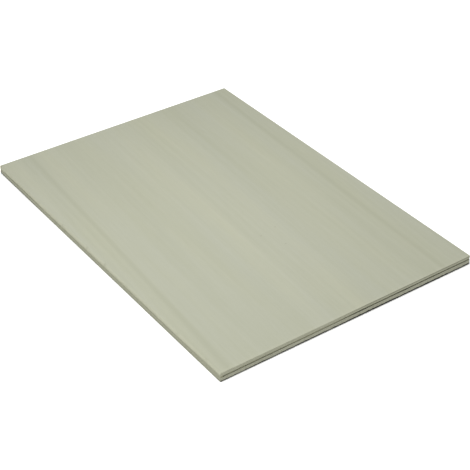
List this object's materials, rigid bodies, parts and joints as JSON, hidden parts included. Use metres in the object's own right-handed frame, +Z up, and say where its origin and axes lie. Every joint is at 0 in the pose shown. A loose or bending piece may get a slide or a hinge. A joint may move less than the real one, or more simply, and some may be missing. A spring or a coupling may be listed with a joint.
{
  "type": "poplar plywood sheet",
  "caption": "Flat rectangular sheet of thin cross-banded plywood, pale close-grained faces, sawn edges that show a darker core line, eased arrises.",
  "frame": {"origin": "middle of the underside, which rests on the floor", "axes": "+X along the sheet and the grain of its face, towards the end with the broken core edge; +Y across the sheet; +Z up through the plies"},
  "size_m": [0.297, 0.21, 0.007],
  "materials": {
    "face_poplar": "sanded, bare",
    "core_poplar": "sawn, bare",
    "back_poplar": "sanded, bare"
  },
  "bodies": {
    "root": {"face_veneer": "face_poplar", "core_veneer": "core_poplar", "back_veneer": "back_poplar"}
  },
  "joints": []
}
